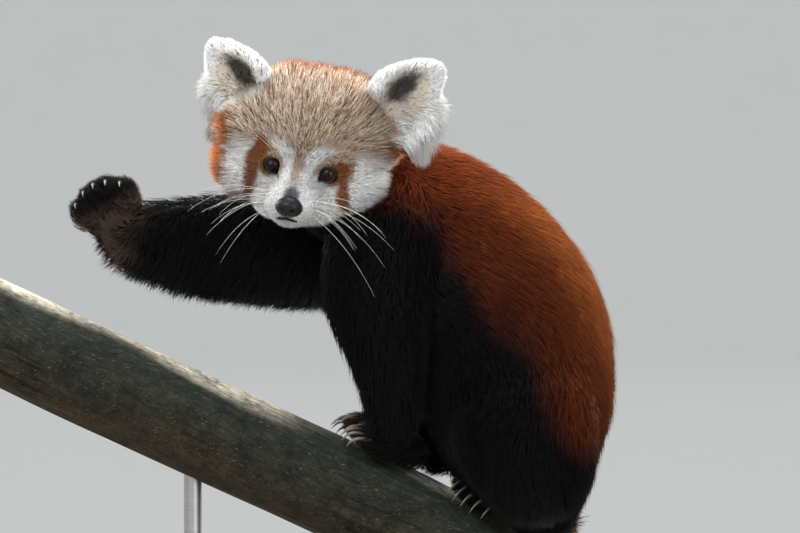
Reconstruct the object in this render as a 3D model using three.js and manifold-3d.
// A life-size red panda sitting on a sloping length of branch, one forepaw held out, its face turned aside.
// Two rods carry the branch over a flat base. Millimetres, +Z up, origin at the centre of the underside of
// the base. The head is to -X (uphill), the tail to +X, and the face looks along -Y.
import * as THREE from "three";
import { mergeVertices } from "three/addons/utils/BufferGeometryUtils.js";
import Module from "manifold-3d";

const wasm = await Module();
wasm.setup();

// Clearance that neighbouring pieces keep.
const GAP = 0.3;

// Driving sizes of the stand.
const BASE = { length: 460, width: 300, height: 22, corner: 24, chamfer: 3 };
const ROD = { radius: 7, sides: 16, intoBase: 12, intoBranch: 24, x: [-185, 72] };
const BRANCH_RADIUS = 40;
const BRANCH_LINE = [
  [-372, 0, 525],
  [-218, 0, 453],
  [-101, 0, 400],
  [-23, 0, 363],
  [39, 0, 330],
  [118, 0, 286],
];

// How far the coat's core and its tips stand off the skin on each part of the body.
const COAT = {
  torso: { core: 6, tip: 12 },
  neck: { core: 5, tip: 11 },
  leg: { core: 4, tip: 9 },
  paw: { tip: 4 },
  tail: { core: 8, tip: 17 },
};

// How the locks of each coat are laid: rings along the limb from one share of its length to another, and the
// locks in a ring, with their length, width and thickness.
const LOCKS = {
  torso: { rings: 6, around: 8, from: 0.05, to: 0.84, length: 76, width: 66, thick: 10 },
  neck: { rings: 2, around: 5, from: 0.12, to: 0.42, length: 44, width: 56, thick: 8 },
  foreleg: { rings: 3, around: 5, from: 0.18, to: 0.66, length: 58, width: 50, thick: 8 },
  haunch: { rings: 3, around: 5, from: 0.12, to: 0.66, length: 46, width: 56, thick: 8 },
  tail: { rings: 6, around: 4, from: 0.04, to: 0.84, length: 74, width: 68, thick: 12 },
  fringe: { count: 7, from: 100, to: -62, short: 16, long: 27, width: 17, thick: 5 },
  tuft: { count: 3, length: 26, width: 13, thick: 4 },
};
const HEAD_LOCKS = { rings: [48, 80, 114], around: [11, 11, 7], swing: 36, width: 46, thick: 8 };
// The share of the coat's depth that the core fills where locks lie over it.
const CORE_SHARE = 0.45;

// The head's place is the point midway between the eyes, with its turn down, to the side and over.
const HEAD_AT = [-101, -84, 635];
const HEAD_TURN = { down: 22, side: -7, over: 10 };
const EYE = { spacing: 22, radius: 7.6, depth: 0 };

// Each row of a body tube: x, y, z of its centre, then its half-width, half-height on top and below.
const SPINE = [
  [-62, 0, 624, 36, 39, 46],
  [-37, 0, 608, 46, 56, 73],
  [-2, 0, 581, 56, 70, 82],
  [30, 0, 548, 61, 78, 68],
  [53, 0, 510, 65, 81, 62],
  [62, 0, 467, 67, 78, 58],
  [67, 0, 427, 60, 67, 44],
  [76, 0, 392, 44, 48, 26],
  [90, 0, 358, 26, 28, 18],
];
const NECK = [
  [-98, -30, 652, 30, 34, 34],
  [-84, -26, 645, 38, 42, 42],
  [-62, -14, 630, 42, 44, 46],
  [-36, -4, 612, 44, 44, 50],
];
const FORELEG_DOWN = [
  [-24, -34, 606, 24, 26, 26],
  [-27, -40, 590, 32, 38, 42],
  [-33, -48, 542, 26, 34, 44],
  [-30, -50, 499, 20, 24, 31],
  [-28, -42, 467, 16, 18, 22],
  [-27, -32, 436, 15, 16, 15],
];
const FORELEG_RAISED = [
  [-30, 34, 584, 26, 28, 28],
  [-50, 38, 574, 30, 34, 34],
  [-94, 46, 570, 27, 30, 38],
  [-140, 42, 572, 24, 28, 39],
  [-179, 36, 574, 22, 25, 36],
  [-214, 28, 580, 19, 20, 27],
  [-240, 22, 590, 17, 18, 18],
];
const HAUNCH_NEAR = [
  [86, -28, 488, 22, 22, 26],
  [84, -42, 462, 33, 36, 46],
  [80, -50, 430, 37, 42, 59],
  [84, -46, 400, 33, 38, 42],
  [94, -34, 372, 25, 26, 26],
];
const SHIN_NEAR = [
  [36, -60, 434, 21, 21, 21],
  [52, -44, 418, 19, 20, 18],
  [74, -14, 400, 16, 17, 15],
];
const HAUNCH_FAR = [
  [78, 28, 490, 22, 22, 28],
  [70, 42, 466, 33, 40, 50],
  [62, 50, 436, 36, 46, 52],
  [68, 45, 404, 31, 42, 38],
  [80, 33, 376, 24, 28, 24],
];
const SHIN_FAR = [
  [30, 56, 446, 21, 22, 22],
  [16, 46, 430, 20, 22, 20],
  [0, 28, 416, 17, 19, 17],
];
const TAIL = [
  [84, 12, 380, 18, 18, 18],
  [87, 38, 362, 20, 20, 20],
  [88, 62, 335, 22, 22, 22],
  [93, 73, 298, 24, 24, 24],
  [103, 75, 252, 26, 26, 26],
  [107, 73, 205, 27, 27, 27],
  [109, 68, 156, 26, 26, 26],
  [107, 61, 108, 22, 22, 22],
  [102, 54, 66, 12, 12, 12],
];

const vec = (x, y, z) => new THREE.Vector3(x, y, z);
const lerp = THREE.MathUtils.lerp;
const degrees = THREE.MathUtils.degToRad;

// A closed three.js geometry as a solid, turned right side out if its map mirrored it.
function solidOf(geometry) {
  const bare = new THREE.BufferGeometry();
  bare.setAttribute("position", geometry.getAttribute("position"));
  bare.setIndex(geometry.index);
  const merged = mergeVertices(bare, 1e-3);
  const corners = new Uint32Array(merged.index.array);
  const build = () =>
    new wasm.Manifold(
      new wasm.Mesh({
        numProp: 3,
        vertProperties: merged.attributes.position.array,
        triVerts: corners,
      }),
    );
  let solid = build();
  if (solid.volume() < 0) {
    for (let i = 0; i < corners.length; i += 3) {
      [corners[i + 1], corners[i + 2]] = [corners[i + 2], corners[i + 1]];
    }
    solid = build();
  }
  return solid;
}

const join = (solids) => wasm.Manifold.union(solids);

// Moves every vertex of a geometry to the place that a map gives for it.
function reshape(geometry, map) {
  const places = geometry.getAttribute("position");
  for (let i = 0; i < places.count; i++) {
    const moved = map(vec(places.getX(i), places.getY(i), places.getZ(i)));
    places.setXYZ(i, moved.x, moved.y, moved.z);
  }
  return geometry;
}

// A limb or trunk: oval sections carried along a smooth line, with rounded ends.
class BodyTube {
  constructor(rows, sideways = vec(0, 1, 0)) {
    this.line = new THREE.CatmullRomCurve3(rows.map((r) => vec(r[0], r[1], r[2])), false, "catmullrom");
    this.line.arcLengthDivisions = 400;
    this.sizes = new THREE.CatmullRomCurve3(rows.map((r) => vec(r[3], r[4], r[5])), false, "catmullrom");
    this.length = this.line.getLength();
    this.startCap = rows[0][4];
    this.endCap = rows.at(-1)[4];
    this.sideways = sideways;
  }

  // The centre and the three directions of the section at an arc length.
  frameAt(arc) {
    const share = THREE.MathUtils.clamp(arc / this.length, 0, 1);
    const t = this.line.getUtoTmapping(share);
    const along = this.line.getTangent(t);
    const side = this.sideways.clone().addScaledVector(along, -this.sideways.dot(along)).normalize();
    const top = along.clone().cross(side);
    const past = arc - share * this.length;
    const centre = this.line.getPoint(t).addScaledVector(along, past);
    return { centre, along, side, top, size: this.sizes.getPoint(t) };
  }

  // The surface grown by a distance. Angle 0 is the side, a quarter turn is the top.
  point(arc, angle, grow = 0) {
    const f = this.frameAt(arc);
    const fromEnd = (toEnd, cap) => {
      const share = Math.min(1, Math.max(0, (toEnd + grow) / (cap + grow)));
      return Math.sqrt(1 - (1 - share) ** 2);
    };
    const round = fromEnd(arc, this.startCap) * fromEnd(this.length - arc, this.endCap);
    const half = Math.sin(angle) > 0 ? f.size.y : f.size.z;
    return f.centre
      .addScaledVector(f.side, Math.cos(angle) * (f.size.x + grow) * round)
      .addScaledVector(f.top, Math.sin(angle) * (half + grow) * round);
  }

  normal(arc, angle, grow = 0) {
    const step = 1;
    const a = this.point(arc - step, angle, grow);
    const b = this.point(arc + step, angle, grow);
    const c = this.point(arc, angle - 0.05, grow);
    const d = this.point(arc, angle + 0.05, grow);
    const out = b.sub(a).cross(d.sub(c)).normalize();
    const away = this.point(arc, angle, grow).sub(this.frameAt(arc).centre);
    return out.dot(away) < 0 ? out.negate() : out;
  }

  solid(grow, around, along, capRows = 3) {
    const start = -grow;
    const end = this.length + grow;
    const arcOf = (row) => {
      const cap = (n) => 1 - Math.cos((n / capRows) * (Math.PI / 2));
      if (row <= capRows) return start + (this.startCap + grow) * cap(row);
      if (row >= along - capRows) return end - (this.endCap + grow) * cap(along - row);
      const from = start + this.startCap + grow;
      const to = end - this.endCap - grow;
      return lerp(from, to, (row - capRows) / (along - 2 * capRows));
    };
    const ball = new THREE.SphereGeometry(1, around, along);
    return solidOf(
      reshape(ball, (p) => {
        const row = (Math.acos(THREE.MathUtils.clamp(p.y, -1, 1)) / Math.PI) * along;
        return this.point(arcOf(row), Math.atan2(p.z, p.x), grow);
      }),
    );
  }
}

// An ellipsoid with its own half-axes, turned and placed, grown by a distance.
function ball(centre, radii, { turn = new THREE.Quaternion(), around = 14, rows = 9, grow = 0 } = {}) {
  const round = new THREE.SphereGeometry(1, around, rows);
  round.scale(radii[0] + grow, radii[1] + grow, radii[2] + grow);
  round.applyQuaternion(turn);
  round.translate(...centre);
  return solidOf(round);
}

// The outline of every lock: rows along its length, how blunt its tip is, its width at the root and the
// swelling beyond it as shares of the full width, and how many clearances a grown one is longer at each end.
const LOCK = { rows: 2, blunt: 1.5, rootWidth: 0.8, swelling: 0.8, longer: 6 };

// A flat, tapered lock of hair: a three-sided blade, ridged on top, carried along a bent line from its sunk
// root to its tip. Its edges wrap round the body, and a grown one keeps clear of its neighbours.
function lock({ root, bend, tip, out, width, thick, wrap = 0 }, grow = 0) {
  const line = new THREE.QuadraticBezierCurve3(root, bend, tip);
  const across = tip.clone().sub(root).cross(out).normalize();
  const blade = new THREE.ConeGeometry(1, 1, 3, LOCK.rows);
  return solidOf(
    reshape(blade, (p) => {
      const left = Math.max(0, 0.5 - p.y);
      const share = 1 - left ** LOCK.blunt;
      const swell = left > 0 ? LOCK.rootWidth + LOCK.swelling * share * (1 - share) : 0;
      const [x, z] = left > 0 ? [p.x / left, p.z / left] : [0, 0];
      const wide = x * ((width * swell) / 2 + 2 * grow);
      const deep = (z * thick * swell) / 2 + (z > 0 ? z : 2 * z) * grow - Math.abs(x) * wrap * swell;
      const end = left === 0 ? 1 : left === 1 ? -1 : 0;
      const past = LOCK.longer * grow * end;
      return line.getPoint(share)
        .addScaledVector(line.getTangent(share), past)
        .addScaledVector(across, wide)
        .addScaledVector(out, deep);
    }),
  );
}

// A steady stream of draws from 0 to 1, the same at every run.
function draws(seed) {
  let state = seed;
  return () => {
    state = (state * 1664525 + 1013904223) % 4294967296;
    return state / 4294967296;
  };
}

// Locks laid in rings along a limb, every second ring turned by half a lock, the tips towards its end.
function coatLocks(tube, lay, coat, seed) {
  const draw = draws(seed);
  const locks = [];
  for (let ring = 0; ring < lay.rings; ring++) {
    const arc = lerp(lay.from, lay.to, ring / (lay.rings - 1)) * tube.length;
    for (let k = 0; k < lay.around; k++) {
      const angle = ((k + 0.5 * (ring % 2) + 0.3 * (draw() - 0.5)) / lay.around) * 2 * Math.PI;
      const long = lay.length * (0.88 + 0.24 * draw());
      const curl = 0.24 * (draw() - 0.5);
      const lift = coat.tip - lay.thick * 0.3;
      locks.push({
        root: tube.point(arc, angle, -2),
        bend: tube.point(arc + 0.5 * long, angle + 0.2 * curl, lift),
        tip: tube.point(arc + long, angle + curl, coat.tip + 1.5 * (draw() - 0.5)),
        out: tube.normal(Math.min(arc + 0.4 * long, tube.length - 4), angle),
        width: lay.width * (0.9 + 0.2 * draw()),
        thick: lay.thick,
        wrap: lay.thick * 0.3,
      });
    }
  }
  return locks;
}

// The head's own frame: x to the animal's left, y backwards, z up, from the point between the eyes.
const headTurn = new THREE.Quaternion().setFromEuler(
  new THREE.Euler(degrees(HEAD_TURN.down), degrees(HEAD_TURN.over), degrees(HEAD_TURN.side), "YZX"),
);
const onHead = (x, y, z) => vec(x, y, z).applyQuaternion(headTurn).add(vec(...HEAD_AT));
const headWay = (x, y, z) => vec(x, y, z).normalize().applyQuaternion(headTurn);

// Forms of the head: place, half-axes of the skin, the depth of the coat along each axis, and whether the
// coat there is of locks. Elsewhere it is short and closed.
const HEAD_CENTRE = [0, 26, -2];
const HEAD_FORMS = [
  { at: [0, 42, 16], radii: [50, 50, 45], coat: [10, 6, 12], locks: true },
  { at: [34, 44, 23], radii: [27, 36, 30], coat: [16, 6, 13], locks: true },
  { at: [-39, 38, 19], radii: [26, 34, 28], coat: [16, 6, 13], locks: true },
  { at: [33, 28, -13], radii: [23, 30, 22], coat: [17, 5, 10], locks: true },
  { at: [-39, 28, -13], radii: [23, 30, 22], coat: [17, 5, 10], locks: true },
  { at: [0, 14, -26], radii: [33, 34, 17], coat: [8, 4, 6] },
  { at: [0, -14, -17], radii: [20, 22, 14], coat: [3, 2, 2] },
  { at: [0, -4, -3], radii: [14, 25, 12], coat: [3, 2, 3] },
  { at: [0, -13, -30], radii: [13, 16, 8], coat: [3, 2, 3] },
  { at: [22, 7, 0], radii: [15, 12, 14], coat: [2, 1, 2] },
  { at: [-22, 7, 0], radii: [15, 12, 14], coat: [2, 1, 2] },
  { at: [8.5, -24, -22], radii: [10.5, 12, 9], coat: [2, 1, 2] },
  { at: [-8.5, -24, -22], radii: [10.5, 12, 9], coat: [2, 1, 2] },
];
const HEAD_BLEND = 22;
function headBall(at, radii, grow = 0, around = 10, rows = 7) {
  return ball(onHead(...at), radii, { turn: headTurn, around, rows, grow });
}

// How far a ray from the head's centre runs before it leaves one ellipsoid, or 0 if it misses.
function rayInBall(way, { at, radii, coat, locks }, coatShare, gap) {
  const half = radii.map((r, k) => r + coat[k] * (locks ? coatShare : 1) + gap);
  const start = vec(...HEAD_CENTRE.map((c, k) => (c - at[k]) / half[k]));
  const run = vec(way.x / half[0], way.y / half[1], way.z / half[2]);
  const [a, b, c] = [run.dot(run), start.dot(run), start.dot(start) - 1];
  const root = b * b - a * c;
  return root < 0 ? 0 : Math.max(0, (Math.sqrt(root) - b) / a);
}

// The reach of the head from its centre along a direction: a soft maximum over all its forms.
function headReach(way, coatShare, gap = 0) {
  const reaches = HEAD_FORMS.map((form) => rayInBall(way, form, coatShare, gap));
  return reaches.reduce((sum, r) => sum + r ** HEAD_BLEND, 0) ** (1 / HEAD_BLEND);
}
const headSurface = (way, coatShare, gap = 0) =>
  onHead(...vec(...HEAD_CENTRE).addScaledVector(way, headReach(way, coatShare, gap)).toArray());

// The skull with its coat: a globe with its poles at face and nape, pushed out to the reach of its forms.
function headShape(coatShare, gap = 0) {
  const globe = new THREE.SphereGeometry(1, 21, 14);
  return solidOf(reshape(globe, (p) => headSurface(p.clone().normalize(), coatShare, gap)));
}

const EYE_SIDES = { left: 1, right: -1 };
const eyePlace = (side) => [side * EYE.spacing, EYE.depth, 0];
const LID = 1.6;
const EYE_OPENING = [6.7, 9, 5.3];
const NOSE = { at: [0, -36.5, -18], radii: [10, 8, 8] };
const NOSTRIL = { at: [4.4, -44, -18.5], radii: [2.3, 4, 1.9] };
const MOUTH = [
  [-17, -12, -27],
  [-13, -22, -29.5],
  [-7, -30, -30.5],
  [0, -34, -28.5],
  [7, -30, -30.5],
  [13, -22, -29.5],
  [17, -12, -27],
];
// A round bead or groove along the mouth, shifted up or down from its line.
function alongMouth(radius, shift) {
  const line = new THREE.CatmullRomCurve3(MOUTH.map(([x, y, z]) => onHead(x, y, z + shift)));
  const ring = new THREE.Shape();
  ring.absarc(0, 0, radius, 0, Math.PI * 2);
  return solidOf(new THREE.ExtrudeGeometry(ring, { steps: 6, extrudePath: line, curveSegments: 2 }));
}

// Locks in rings round the face, roots towards it and tips flared back: the ruff, crown and nape.
function headLocks() {
  const lay = HEAD_LOCKS;
  const draw = draws(11);
  const way = (fromFace, round) =>
    vec(Math.sin(fromFace) * Math.cos(round), -Math.cos(fromFace), Math.sin(fromFace) * Math.sin(round));
  return lay.rings.flatMap((ring, row) =>
    Array.from({ length: lay.around[row] }, (_, k) => {
      const round = ((k + 0.5 * (row % 2) + 0.25 * (draw() - 0.5)) / lay.around[row]) * 2 * Math.PI;
      const start = degrees(ring);
      const swing = degrees(lay.swing * (0.9 + 0.2 * draw()));
      const curl = 0.16 * (draw() - 0.5);
      const tip = headSurface(way(start + swing, round + curl), 1);
      const bend = headSurface(way(start + 0.55 * swing, round), 1);
      return {
        root: headSurface(way(start, round), -0.1),
        bend,
        tip,
        out: bend.clone().sub(onHead(...HEAD_CENTRE)).normalize(),
        width: lay.width * (0.88 + 0.24 * draw()),
        thick: lay.thick,
        wrap: lay.thick * 0.4,
      };
    }),
  );
}

// The head with lids round the eyes, lips, and the line of the mouth.
function headFeatures(head) {
  const sides = Object.values(EYE_SIDES);
  const lids = sides.map((s) => headBall(eyePlace(s), [1, 1, 1], EYE.radius + LID - 1));
  const lips = [alongMouth(1.9, 1.9), alongMouth(2, -2.2)];
  const whole = join([head, ...lids, ...lips]);
  const sockets = sides.map((s) => headBall(eyePlace(s), [1, 1, 1], EYE.radius + GAP - 1));
  const openings = sides.map((s) => {
    const [x, y, z] = eyePlace(s);
    return headBall([x, y - EYE.radius, z], EYE_OPENING, 0, 10, 5);
  });
  return whole.subtract(join([...sockets, ...openings, alongMouth(0.9, 0), noseShape(GAP)]));
}
function noseShape(gap = 0) {
  return headBall(NOSE.at, NOSE.radii, gap, 10, 7);
}
function noseWithNostrils() {
  const [x, y, z] = NOSTRIL.at;
  const holes = [1, -1].map((s) => headBall([s * x, y, z], NOSTRIL.radii, 0, 6, 5));
  return noseShape().subtract(join(holes));
}

// An ear: a leaf with a hollowed front, on a stalk sunk in the head, leaning outwards by some degrees.
// Its top sweeps outwards, and its outer half is taller than its inner one.
const EAR = { width: 25, back: 10, rim: 9, height: 33, cup: 15, cupShare: 0.75, coat: 3, sweep: 8, slant: 0.12 };
const EAR_SET = { left: { at: [68, 37, 60], lean: 22 }, right: { at: [-59, 37, 50], lean: 28 } };
function earFrame(side) {
  const { at, lean } = EAR_SET[side > 0 ? "left" : "right"];
  const up = headWay(side * Math.sin(degrees(lean)), 0.12, Math.cos(degrees(lean)));
  const face = headWay(side * 0.3, -0.95, 0.05);
  face.addScaledVector(up, -face.dot(up)).normalize();
  const across = up.clone().cross(face).normalize();
  const turn = new THREE.Quaternion().setFromRotationMatrix(
    new THREE.Matrix4().makeBasis(across, face.clone().negate(), up),
  );
  return { up, face, across, turn, centre: onHead(...at) };
}

// A point of the ear from a point of the unit ball: narrower to its top, its front pressed in as a cup.
function earPoint(side, p, grow = 0) {
  const f = earFrame(side);
  const hollow = EAR.cup * Math.max(0, 1 - (p.x * p.x + p.z * p.z) / EAR.cupShare);
  const deep = p.y > 0 ? (EAR.back + grow) * p.y : hollow + (EAR.rim + grow) * p.y;
  const narrow = 1 - 0.08 * p.z - 0.1 * p.z * p.z;
  const swept = side * EAR.sweep * Math.max(p.z, 0) ** 2;
  return f.centre
    .addScaledVector(f.across, p.x * (EAR.width + grow) * narrow + swept)
    .addScaledVector(f.face, -deep)
    .addScaledVector(f.up, p.z * (EAR.height + grow) * (1 + EAR.slant * side * p.x));
}
function earShape(side, grow = 0) {
  const f = earFrame(side);
  const leaf = new THREE.SphereGeometry(1, 16, 9);
  leaf.rotateX(Math.PI / 2);
  const root = f.centre.clone().addScaledVector(f.up, -0.85 * EAR.height);
  const stalk = ball(root, [17, 10, 16], { turn: f.turn, around: 8, rows: 6, grow });
  return join([solidOf(reshape(leaf, (p) => earPoint(side, p, grow))), stalk]);
}

// The long fringe down an ear's outer edge, and tufts that cross its cup from the inner edge.
function earLocks(side) {
  const f = earFrame(side);
  const fringe = LOCKS.fringe;
  const tuft = LOCKS.tuft;
  const draw = draws(side > 0 ? 21 : 22);
  const locks = [];
  for (let k = 0; k < fringe.count; k++) {
    const share = k / (fringe.count - 1);
    const edge = degrees(lerp(fringe.from, fringe.to, share));
    const long = lerp(fringe.short, fringe.long, share) * (0.85 + 0.3 * draw());
    const rim = vec(side * Math.cos(edge), 0, Math.sin(edge));
    const away = f.across.clone().multiplyScalar(rim.x).addScaledVector(f.up, rim.z);
    const down = f.across.clone().multiplyScalar(side * rim.z).addScaledVector(f.up, -side * rim.x);
    const root = earPoint(side, rim.clone().multiplyScalar(0.78));
    const bend = earPoint(side, rim, EAR.coat).addScaledVector(away, 1.5).addScaledVector(down, 0.35 * long);
    const tip = bend.clone().addScaledVector(down, 0.6 * long).addScaledVector(away, 0.22 * long);
    locks.push({ root, bend, tip, out: f.face, width: fringe.width, thick: fringe.thick });
  }
  for (let k = 0; k < tuft.count; k++) {
    const high = lerp(-0.5, 0.42, k / (tuft.count - 1));
    const root = earPoint(side, vec(-side * 0.86, -0.3, high)).addScaledVector(f.face, -2);
    const half = side * 0.5 * tuft.length;
    const bend = root.clone().addScaledVector(f.face, 4.5).addScaledVector(f.across, 0.9 * half);
    const tip = bend.clone().addScaledVector(f.across, half).addScaledVector(f.up, 4);
    locks.push({ root, bend, tip, out: f.face, width: tuft.width, thick: tuft.thick });
  }
  return locks;
}

// The pieces of a foot in its own frame, x sideways, y forwards, z up, and the arch on which the toes stand.
const FOOT = {
  palm: { at: [0, 2, 0], radii: [17, 18, 9] },
  heel: { at: [0, -15, 2], radii: [12, 15, 10] },
  toe: { radii: [5, 9, 6], spacing: 7.5, reach: 19, bow: 1.5, curlBack: 7, curlDown: 9 },
};
const CLAW = { reach: 15, drop: 12, half: 2.6, root: [0, 4, 2], blunt: 0.6, flat: 0.8, deep: 1.1 };

// A foot: palm, heel and five toes, from its own frame of forward, up and sideways.
class Foot {
  constructor(at, forward, up, scale = 1, curl = 0) {
    this.forward = vec(...forward).normalize();
    this.up = vec(...up);
    this.up.addScaledVector(this.forward, -this.up.dot(this.forward)).normalize();
    this.side = this.forward.clone().cross(this.up).normalize();
    this.at = vec(...at);
    this.scale = scale;
    this.curl = curl;
    this.turn = new THREE.Quaternion().setFromRotationMatrix(
      new THREE.Matrix4().makeBasis(this.side, this.forward, this.up),
    );
  }

  place(x, y, z) {
    const local = vec(x, y, z).multiplyScalar(this.scale).applyQuaternion(this.turn);
    return local.add(this.at);
  }

  // Where each toe sits, from the outer to the inner one, bent down by the foot's curl.
  toe(i) {
    const { spacing, reach, bow, curlBack, curlDown } = FOOT.toe;
    const spread = i - 2;
    const ahead = reach - bow * spread * spread - this.curl * curlBack;
    return [spread * spacing, ahead, -1 - this.curl * curlDown];
  }

  shape(grow = 0) {
    const s = this.scale;
    const round = (at, radii, around, rows) =>
      ball(this.place(...at), radii.map((r) => r * s), { turn: this.turn, around, rows, grow });
    const toes = [0, 1, 2, 3, 4].map((i) => round(this.toe(i), FOOT.toe.radii, 6, 4));
    const { palm, heel } = FOOT;
    return join([round(palm.at, palm.radii, 8, 5), round(heel.at, heel.radii, 6, 4), ...toes]);
  }

  // A curved claw: it leaves the toe forwards and bends down to its point.
  claw(i, grow = 0) {
    const toe = this.toe(i);
    const root = this.place(...toe.map((v, k) => v + CLAW.root[k]));
    const ahead = this.forward.clone().addScaledVector(this.up, -this.curl).normalize();
    const below = this.up.clone().addScaledVector(this.forward, this.curl).normalize().negate();
    const middle = root.clone().addScaledVector(ahead, CLAW.reach);
    const tip = middle.clone().addScaledVector(ahead, 1).addScaledVector(below, CLAW.drop);
    const line = new THREE.QuadraticBezierCurve3(root, middle, tip);
    const cone = new THREE.ConeGeometry(1, 1, 3, 3);
    return solidOf(
      reshape(cone, (p) => {
        const share = p.y + 0.5;
        const ring = Math.max(1e-6, 1 - share);
        const half = (CLAW.half + grow) * (1 - share) ** CLAW.blunt;
        return line.getPoint(share)
          .addScaledVector(line.getTangent(share), grow * (2 * share - 1))
          .addScaledVector(this.side, (p.x / ring) * half * CLAW.flat)
          .addScaledVector(below, (p.z / ring) * half * CLAW.deep);
      }),
    );
  }
}
const feet = {
  front_left: new Foot([-30, -22, 421], [-0.9, -0.12, 0.42], [0.38, -0.3, 0.87]),
  front_right: new Foot([-248, 16, 602], [-0.45, -0.1, 0.88], [0.1, 0.97, 0.12], 1.3, 0.9),
  hind_left: new Foot([47, -10, 383], [-0.45, -0.88, 0], [0.47, -0.25, 0.85], 1.15),
  hind_right: new Foot([-38, 25, 428], [-0.9, 0.02, 0.42], [0.4, 0.3, 0.87]),
};

const tubes = {
  spine: new BodyTube(SPINE),
  neck: new BodyTube(NECK),
  front_left: new BodyTube(FORELEG_DOWN),
  front_right: new BodyTube(FORELEG_RAISED),
  haunch_left: new BodyTube(HAUNCH_NEAR),
  shin_left: new BodyTube(SHIN_NEAR),
  haunch_right: new BodyTube(HAUNCH_FAR),
  shin_right: new BodyTube(SHIN_FAR),
  tail: new BodyTube(TAIL),
};
// The perch: a length of branch, its edges eased at the cut ends, with low bumps where side shoots were.
const BRANCH_EDGE = 4;
const branchSize = [BRANCH_RADIUS, BRANCH_RADIUS, BRANCH_RADIUS];
const branchTube = new BodyTube(BRANCH_LINE.map((place) => [...place, ...branchSize]));
branchTube.startCap = BRANCH_EDGE;
branchTube.endCap = BRANCH_EDGE;
const KNOTS = [
  { at: [-262, -33, 466], radii: [17, 12, 14] },
  { at: [-60, -30, 362], radii: [15, 14, 13] },
];
function branchShape(grow = 0) {
  const knots = KNOTS.map(({ at, radii }) => ball(vec(...at), radii, { around: 8, rows: 6, grow }));
  return join([branchTube.solid(grow, 12, 6, 1), ...knots]);
}

function rodShape(x, grow = 0) {
  const low = BASE.height - ROD.intoBase;
  const share = BRANCH_LINE.findIndex((p) => p[0] > x);
  const [a, b] = [BRANCH_LINE[share - 1], BRANCH_LINE[share]];
  const axisZ = lerp(a[2], b[2], (x - a[0]) / (b[0] - a[0]));
  const high = axisZ - BRANCH_RADIUS + ROD.intoBranch;
  const radius = ROD.radius + grow;
  const bar = new THREE.CylinderGeometry(radius, radius, high - low + 2 * grow, ROD.sides);
  bar.rotateX(Math.PI / 2).translate(x, 0, (high + low) / 2);
  return solidOf(bar);
}
function baseShape() {
  const { length, width, height, corner, chamfer } = BASE;
  const [hx, hy, r] = [length / 2 - chamfer, width / 2 - chamfer, corner];
  const board = new THREE.Shape();
  board.moveTo(-hx + r, -hy);
  board.lineTo(hx - r, -hy).absarc(hx - r, -hy + r, r, -Math.PI / 2, 0);
  board.lineTo(hx, hy - r).absarc(hx - r, hy - r, r, 0, Math.PI / 2);
  board.lineTo(-hx + r, hy).absarc(-hx + r, hy - r, r, Math.PI / 2, Math.PI);
  board.lineTo(-hx, -hy + r).absarc(-hx + r, -hy + r, r, Math.PI, Math.PI * 1.5);
  const bevel = { bevelThickness: chamfer, bevelSize: chamfer, bevelSegments: 1 };
  const slab = new THREE.ExtrudeGeometry(board, { depth: height - 2 * chamfer, curveSegments: 3, ...bevel });
  return solidOf(slab.translate(0, 0, chamfer));
}

// One of the three lengths that the tail is divided into, between two shares of its length.
const TAIL_CUTS = [0, 0.36, 0.68, 1];
function tailShape(piece, coat, gap = 0) {
  const tube = tubes.tail;
  let solid = tube.solid(coat + gap, 12, 16);
  [TAIL_CUTS[piece], TAIL_CUTS[piece + 1]].forEach((share, i) => {
    if (share === 0 || share === 1) return;
    const f = tube.frameAt(share * tube.length);
    const way = i === 0 ? f.along : f.along.clone().negate();
    solid = solid.trimByPlane(way.toArray(), way.dot(f.centre) + GAP / 2 - gap);
  });
  return solid;
}
function tailPieceOf(place) {
  const cuts = TAIL_CUTS.slice(1, -1).map((share) => tubes.tail.frameAt(share * tubes.tail.length));
  return cuts.filter((f) => f.along.dot(place.clone().sub(f.centre)) > 0).length;
}

const COLOURS = {
  rust: { color: "#7a3417", roughness: 0.85 },
  black: { color: "#15110f", roughness: 0.85 },
  face: { color: "#b98f6d", roughness: 0.85 },
  white: { color: "#e9e4dc", roughness: 0.85 },
  tail: { color: "#96512a", roughness: 0.85 },
  eye: { color: "#130c08", roughness: 0.1 },
  nose: { color: "#1b1b20", roughness: 0.45 },
  claw: { color: "#cfc4ae", roughness: 0.5 },
  bark: { color: "#6d6557", roughness: 0.9 },
  board: { color: "#3a2a1f", roughness: 0.5 },
  steel: { color: "#6b6e72", roughness: 0.35, metalness: 0.9 },
};
const finishes = {};
for (const [name, look] of Object.entries(COLOURS)) finishes[name] = new THREE.MeshStandardMaterial(look);

// Every node in the order in which it keeps its room: a later one is cut clear of the earlier ones.
const plan = [
  { name: "stand_base", look: "board", shape: () => baseShape() },
  ...ROD.x.map((x, i) => ({ name: `stand_rod_${i + 1}`, look: "steel", shape: (gap) => rodShape(x, gap) })),
  { name: "perch", look: "bark", shape: (gap) => branchShape(gap) },
  { name: "nose", look: "nose", shape: (gap) => (gap ? noseShape(gap) : noseWithNostrils()) },
];
for (const [name, side] of Object.entries(EYE_SIDES)) {
  const eye = (gap) => headBall(eyePlace(side), [1, 1, 1], EYE.radius + gap - 1, 10, 7);
  plan.push({ name: `eye_${name}`, look: "eye", shape: eye });
}
plan.push({
  name: "head",
  look: "face",
  shape: (gap) => headShape(CORE_SHARE, gap),
  refine: headFeatures,
  locks: headLocks(),
});
for (const [name, side] of Object.entries(EYE_SIDES)) {
  const ear = (gap) => earShape(side, EAR.coat + gap);
  plan.push({ name: `ear_${name}`, look: "white", shape: ear, locks: earLocks(side) });
}
for (const [name, foot] of Object.entries(feet)) {
  plan.push({ name: `paw_${name}`, look: "black", shape: (gap) => foot.shape(COAT.paw.tip + gap) });
}
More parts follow.
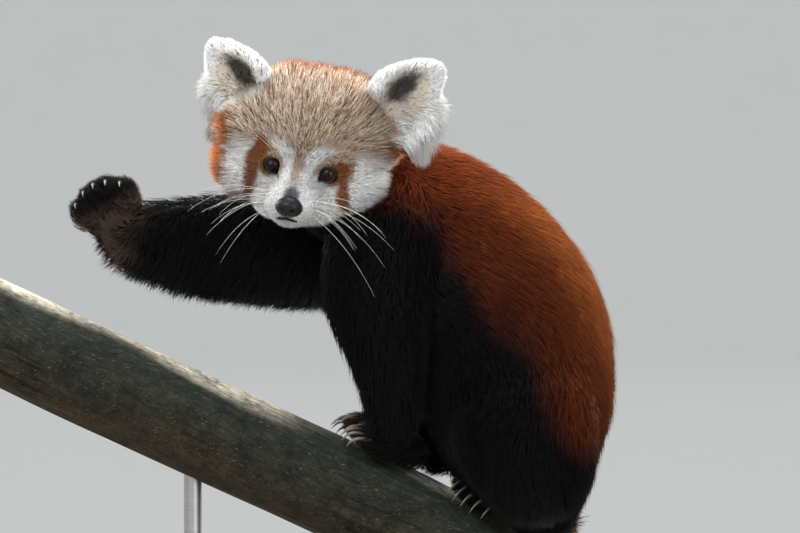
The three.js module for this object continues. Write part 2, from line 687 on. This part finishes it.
for (const [name, foot] of Object.entries(feet)) {
  for (let i = 0; i < 5; i++) {
    plan.push({ name: `claw_${name}_${i + 1}`, look: "claw", shape: (gap) => foot.claw(i, 4 * gap) });
  }
}
plan.push(
  {
    name: "torso",
    look: "rust",
    shape: (gap) => tubes.spine.solid(COAT.torso.core + gap, 14, 13),
    locks: coatLocks(tubes.spine, LOCKS.torso, COAT.torso, 1),
  },
  {
    name: "neck",
    look: "rust",
    shape: (gap) => tubes.neck.solid(COAT.neck.core + gap, 12, 8),
    locks: coatLocks(tubes.neck, LOCKS.neck, COAT.neck, 2),
  },
);
["left", "right"].forEach((side, i) => {
  const foreleg = tubes[`front_${side}`];
  plan.push({
    name: `leg_front_${side}`,
    look: "black",
    shape: (gap) => foreleg.solid(COAT.leg.core + gap, 10, 9),
    locks: coatLocks(foreleg, LOCKS.foreleg, COAT.leg, 3 + i),
  });
});
["left", "right"].forEach((side, i) => {
  const [haunch, shin] = [tubes[`haunch_${side}`], tubes[`shin_${side}`]];
  plan.push({
    name: `leg_hind_${side}`,
    look: "black",
    shape: (gap) => join([haunch, shin].map((tube) => tube.solid(COAT.leg.core + gap, 12, 9))),
    locks: coatLocks(haunch, LOCKS.haunch, COAT.leg, 5 + i),
  });
});
const tailLocks = coatLocks(tubes.tail, LOCKS.tail, COAT.tail, 7);
["tail_root", "tail_middle", "tail_tip"].forEach((name, i) => {
  const locks = tailLocks.filter((l) => tailPieceOf(l.root) === i);
  plan.push({ name, look: "tail", shape: (gap) => tailShape(i, COAT.tail.core, gap), locks });
});

const near = (a, b) => {
  const [p, q] = [a.boundingBox(), b.boundingBox()];
  return [0, 1, 2].every((k) => p.min[k] <= q.max[k] && q.min[k] <= p.max[k]);
};
const cutBy = (solid, cutters) => {
  const close = cutters.filter((c) => near(c, solid));
  return close.length ? solid.subtract(join(close)) : solid;
};
const largest = (solid) => solid.decompose().reduce((a, b) => (a.volume() > b.volume() ? a : b));

// Each node is its core, cut clear of the earlier cores, joined with its locks, cut clear of every other
// core and of the earlier locks. A lock that would mostly lie inside another node is left out.
const LEAST_SHOWN = 0.5;
const coresGrown = plan.map((node) => node.shape(GAP));
const locksGrown = [];
plan.forEach((node, i) => {
  const core = cutBy(node.shape(0), coresGrown.slice(0, i));
  let solid = node.refine ? node.refine(core) : core;
  if (node.locks) {
    const others = coresGrown.filter((_, k) => k !== i);
    const shown = node.locks.filter((l) => {
      const blade = lock(l);
      return cutBy(blade, others).volume() > LEAST_SHOWN * blade.volume();
    });
    const coat = join(shown.map((l) => lock(l)));
    solid = solid.add(cutBy(coat, [...others, ...locksGrown]));
    locksGrown.push(join(shown.map((l) => lock(l, GAP))));
  }
  node.solid = largest(solid);
});

// The scene graph: the stand, the animal, and the head's pieces in a group of their own at the head's place.
const root = new THREE.Group();
const stand = new THREE.Group();
const animal = new THREE.Group();
const head = new THREE.Group();
head.position.set(...HEAD_AT);
head.quaternion.copy(headTurn);
animal.add(head);
root.add(stand, animal);
root.updateMatrixWorld(true);

function place(node, group) {
  const { numProp, vertProperties, triVerts } = node.solid.getMesh();
  const count = vertProperties.length / numProp;
  const places = new Float32Array(count * 3);
  for (let i = 0; i < count; i++) places.set(vertProperties.subarray(i * numProp, i * numProp + 3), 3 * i);
  const geometry = new THREE.BufferGeometry();
  geometry.setAttribute("position", new THREE.BufferAttribute(places, 3));
  geometry.setIndex(new THREE.BufferAttribute(new Uint32Array(triVerts), 1));
  geometry.applyMatrix4(group.matrixWorld.clone().invert());
  geometry.computeVertexNormals();
  const mesh = new THREE.Mesh(geometry, finishes[node.look]);
  mesh.name = node.name;
  group.add(mesh);
}
const HEAD_PIECES = /^(head|nose|eye_|ear_)/;
for (const node of plan) {
  const onStand = node.name.startsWith("stand_") || node.name === "perch";
  place(node, onStand ? stand : HEAD_PIECES.test(node.name) ? head : animal);
}

export default root;
